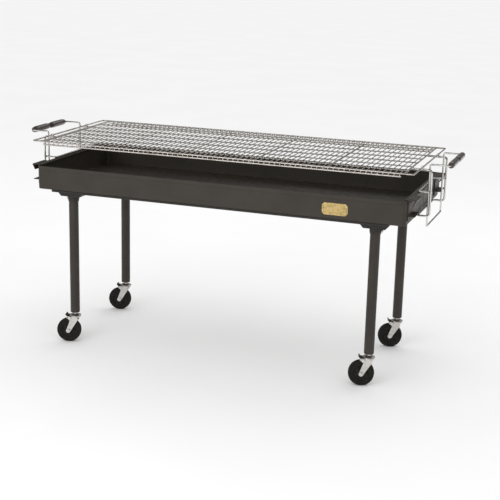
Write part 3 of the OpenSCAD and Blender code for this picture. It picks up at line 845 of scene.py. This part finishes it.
def make_grate():
    grate_x, grate_y, top_z, low_z = grate_sizes()
    loop_x = grate_x - LOOP_W
    low_x = loop_x - 0.010
    wires = int((low_x - 2 * MESH_R) // MESH_PITCH)
    bm = bmesh.new()
    for sign in SIDES.values():
        loop = [(sign * loop_x, -grate_y, top_z), (sign * grate_x, -grate_y, top_z),
                (sign * grate_x, grate_y, top_z), (sign * loop_x, grate_y, top_z)]
        sweep(bm, wire_path(loop, RAIL_BEND, closed=True), FRAME_R, 16, closed=True)
    for sign in ENDS.values():
        y = sign * grate_y
        rod(bm, (-loop_x - 0.003, y, top_z), (loop_x + 0.003, y, top_z), FRAME_R, 16)
        rod(bm, (-low_x, y, low_z), (low_x, y, low_z), FRAME_R, 16)
    piece("grate_rim_wires", bm, "grate", "grate_plating", "grate_frame")

    bm = bmesh.new()
    rod_z = top_z - MESH_R - ROD_R + WELD
    pitch = 2 * grate_y / (ROD_COUNT + 1)
    for i in range(1, ROD_COUNT + 1):
        y = -grate_y + i * pitch
        rod(bm, (-loop_x, y, rod_z), (loop_x, y, rod_z), ROD_R, 12)
    cross_z = rod_z - 2 * ROD_R
    for i in range(1, BAY_COUNT):
        x = -low_x + i * 2 * low_x / BAY_COUNT
        rod(bm, (x, -grate_y, cross_z), (x, grate_y, cross_z), ROD_R, 12)
    piece("grate_support_rods", bm, "grate", "grate_plating", "grate_rods")

    end_y = grate_y - FRAME_R + WELD
    bm = bmesh.new()
    for i in range(-wires, wires + 1):
        rod(bm, (i * MESH_PITCH, -end_y, top_z), (i * MESH_PITCH, end_y, top_z), MESH_R, 10)
    piece("grate_cooking_wires", bm, "grate", "grate_plating", "grate_wires")

    bm = bmesh.new()
    for sign in ENDS.values():
        for i in range(-wires, wires + 1):
            x = i * MESH_PITCH
            rod(bm, (x, sign * grate_y, low_z), (x, sign * grate_y, top_z), MESH_R, 10)
    piece("grate_edge_posts", bm, "grate", "grate_plating", "grate_posts")


# ---------- lift racks ----------

def make_rack(side, sign):
    grate_x, _, top_z, _ = grate_sizes()
    low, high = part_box("rack_frame_" + side)
    hook_x = max(high.x, -low.x) - HOOK_R
    hook_y = high.y - EYE_HALF
    low_rung_z = low.z + HOOK_R
    rail_low, rail_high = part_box("end_rail_" + side)
    rail_x = max(rail_high.x, -rail_low.x)
    rung_z = rail_high.z + HANDLE_R + RUNG_GAP
    rung_y = hook_y - HOOK_R - HANDLE_R + WELD
    arm_z = top_z - FRAME_R - HOOK_R - BODY_GAP
    arm_x = grate_x - LOOP_W - 0.008
    bm = bmesh.new()
    hook = [(arm_x, -hook_y, arm_z), (hook_x, -hook_y, arm_z), (hook_x, -hook_y, low_rung_z),
            (rail_x - 0.002, -hook_y, low_rung_z), (rail_x - 0.002, hook_y, low_rung_z),
            (hook_x, hook_y, low_rung_z), (hook_x, hook_y, arm_z), (arm_x, hook_y, arm_z)]
    hook = [(sign * x, y, z) for x, y, z in hook]
    sweep(bm, wire_path(hook, 0.012, steps=8), HOOK_R, 20)
    rung = [(hook_x + HOOK_R, -rung_y, rung_z), (rail_x - 0.006, -rung_y, rung_z),
            (rail_x - 0.006, rung_y, rung_z), (hook_x + HOOK_R, rung_y, rung_z)]
    sweep(bm, wire_path([(sign * x, y, z) for x, y, z in rung], 0.008, steps=8), HANDLE_R, 20)
    bore = FRAME_R + RUN_GAP
    eye = bore + EYE_WALL
    chamfer = 0.0005
    for y_sign in ENDS.values():
        lathe(bm, [(bore, -EYE_HALF), (eye - chamfer, -EYE_HALF), (eye, chamfer - EYE_HALF),
                   (eye, EYE_HALF - chamfer), (eye - chamfer, EYE_HALF), (bore, EYE_HALF)],
              along((0, 1, 0), (sign * grate_x, y_sign * hook_y, top_z)), 32, closed=True)
    piece("rack_%s_hooks" % side, bm, "rack_" + side, "rack_plating", "rack_frame_" + side)

    low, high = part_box("rack_handle_" + side)
    far_x = max(high.x, -low.x) - HANDLE_R
    near_x = min(abs(high.x), abs(low.x)) + HANDLE_R
    y = high.y - HANDLE_R
    loop = [(far_x, -y, high.z - HANDLE_R), (far_x, y, high.z - HANDLE_R),
            (near_x, y, high.z - HANDLE_R), (near_x, y, low.z + HANDLE_R),
            (near_x, -y, low.z + HANDLE_R), (near_x, -y, high.z - HANDLE_R)]
    bm = bmesh.new()
    sweep(bm, wire_path([(sign * x, y, z) for x, y, z in loop], 0.0065, closed=True, steps=8),
          HANDLE_R, 20, closed=True)
    piece("rack_%s_handle" % side, bm, "rack_" + side, "rack_plating", "rack_handle_" + side)


def make_grip(side, end):
    """Turned grip: a barrel with a bead at each end."""
    node = "grip_%s_%s" % (side, end)
    low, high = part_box(node)
    length = high.y - low.y
    radius = (high.x - low.x) / 2
    bore = HANDLE_R + RUN_GAP
    half = [(0.60, 0), (0.72, 0.0006), (0.80, 0.0020), (0.83, 0.0038), (0.82, 0.0052),
            (0.79, 0.0060), (0.82, 0.0068), (0.90, 0.0100), (0.965, 0.0160), (1.0, 0.0260)]
    outline = [(r * radius, h) for r, h in half]
    middle = [(0.995 * radius, length / 2)]
    back = [(r, length - h) for r, h in reversed(outline)]
    profile = [(bore, 0)] + outline + middle + back + [(bore, length)]
    centre = (low + high) / 2
    bm = bmesh.new()
    lathe(bm, profile, along((0, 1, 0), (centre.x, low.y, centre.z)), 48, closed=True)
    piece("grip_%s_%s_wood" % (side, end), bm, "rack_" + side, "grip_wood", node)


# ---------- the whole grill ----------

make_trough()
make_badge()
make_collar_screws()
make_grate()
for side, sign in SIDES.items():
    make_end_rail(side, sign)
    make_rack(side, sign)
    for end in ENDS:
        make_grip(side, end)
for end, sign in ENDS.items():
    make_frame_bar(end, sign)
for corner, sx in CORNERS.items():
    make_corner_bracket(corner, sx)
    make_leg(corner)
    make_caster(corner)


# ---------- stage, light and camera ----------

WALL_LIGHT = 1.12       # the studio's walls, at the horizon
CEILING_LIGHT = 0.9     # the studio's ceiling
REFLECTED_SHARE = 0.17  # how much of the studio shows in reflections


def make_floor():
    bm = bmesh.new()
    bmesh.ops.create_grid(bm, x_segments=8, y_segments=8, size=60)
    mesh = bpy.data.meshes.new("floor")
    bm.to_mesh(mesh)
    bm.free()
    floor = bpy.data.objects.new("floor", mesh)
    bpy.context.scene.collection.objects.link(floor)
    material, nodes, links, shader, coords = start_material(
        "floor_pale", (0.93, 0.93, 0.93), 0.0, 0.9)
    tone = noise(nodes, links, coords, 1.5, 2)
    links.new(ramp(nodes, links, tone, [(0.3, (0.92, 0.92, 0.92)), (0.7, (0.94, 0.94, 0.94))]),
              shader.inputs["Base Color"])
    shader.inputs["Specular IOR Level"].default_value = 0.0
    mesh.materials.append(material)


def make_world():
    """A white studio, brightest low down, whose ceiling shows dim in reflections."""
    world = bpy.data.worlds.new("studio")
    bpy.context.scene.world = world
    world.use_nodes = True
    nodes = world.node_tree.nodes
    links = world.node_tree.links
    direction = nodes.new("ShaderNodeSeparateXYZ")
    links.new(nodes.new("ShaderNodeTexCoord").outputs["Generated"], direction.inputs["Vector"])
    level = nodes.new("ShaderNodeMapRange")
    level.inputs["To Min"].default_value = WALL_LIGHT
    level.inputs["To Max"].default_value = CEILING_LIGHT
    links.new(direction.outputs["Z"], level.inputs["Value"])
    dimmed = nodes.new("ShaderNodeMapRange")
    dimmed.inputs["To Min"].default_value = 1.0
    dimmed.inputs["To Max"].default_value = REFLECTED_SHARE
    links.new(nodes.new("ShaderNodeLightPath").outputs["Is Glossy Ray"], dimmed.inputs["Value"])
    strength = nodes.new("ShaderNodeMath")
    strength.operation = "MULTIPLY"
    links.new(level.outputs["Result"], strength.inputs[0])
    links.new(dimmed.outputs["Result"], strength.inputs[1])
    nodes["Background"].inputs["Color"].default_value = (1, 1, 1, 1)
    links.new(strength.outputs["Value"], nodes["Background"].inputs["Strength"])


def make_softbox(name, position, target, width, height, power):
    light = bpy.data.lights.new(name, "AREA")
    light.shape = "RECTANGLE"
    light.size = width
    light.size_y = height
    light.energy = power
    lamp = bpy.data.objects.new(name, light)
    bpy.context.scene.collection.objects.link(lamp)
    lamp.location = position
    lamp.rotation_mode = "QUATERNION"
    lamp.rotation_quaternion = (Vector(target) - Vector(position)).to_track_quat("-Z", "Y")


def make_camera():
    """Camera on a long lens, a little above the grill and round to its right front."""
    azimuth = math.radians(19.478)
    elevation = math.radians(14.864)
    roll = math.radians(1.478)
    distance = 4.76077
    target = Vector((0.05178, 0, 0.41566))
    level = math.cos(elevation)
    back = Vector((math.sin(azimuth) * level, -math.cos(azimuth) * level, math.sin(elevation)))
    data = bpy.data.cameras.new("camera")
    data.sensor_width = 36
    data.lens = 83.03
    data.clip_start = 0.1
    data.clip_end = 300
    camera = bpy.data.objects.new("camera", data)
    bpy.context.scene.collection.objects.link(camera)
    camera.location = target + back * distance
    camera.rotation_mode = "QUATERNION"
    facing = (-back).to_track_quat("-Z", "Y")
    camera.rotation_quaternion = facing @ Matrix.Rotation(roll, 3, "Z").to_quaternion()
    bpy.context.scene.camera = camera


make_floor()
make_world()
make_softbox("key", position=(-1.2, -4.6, 2.3), target=(0, 0, 0.6), width=3.4, height=1.6, power=60)
make_softbox("rim", position=(0.6, 2.6, 2.6), target=(0, 0, 0.8), width=3.2, height=0.8, power=10)
make_camera()
bpy.context.scene.view_settings.view_transform = "Standard"
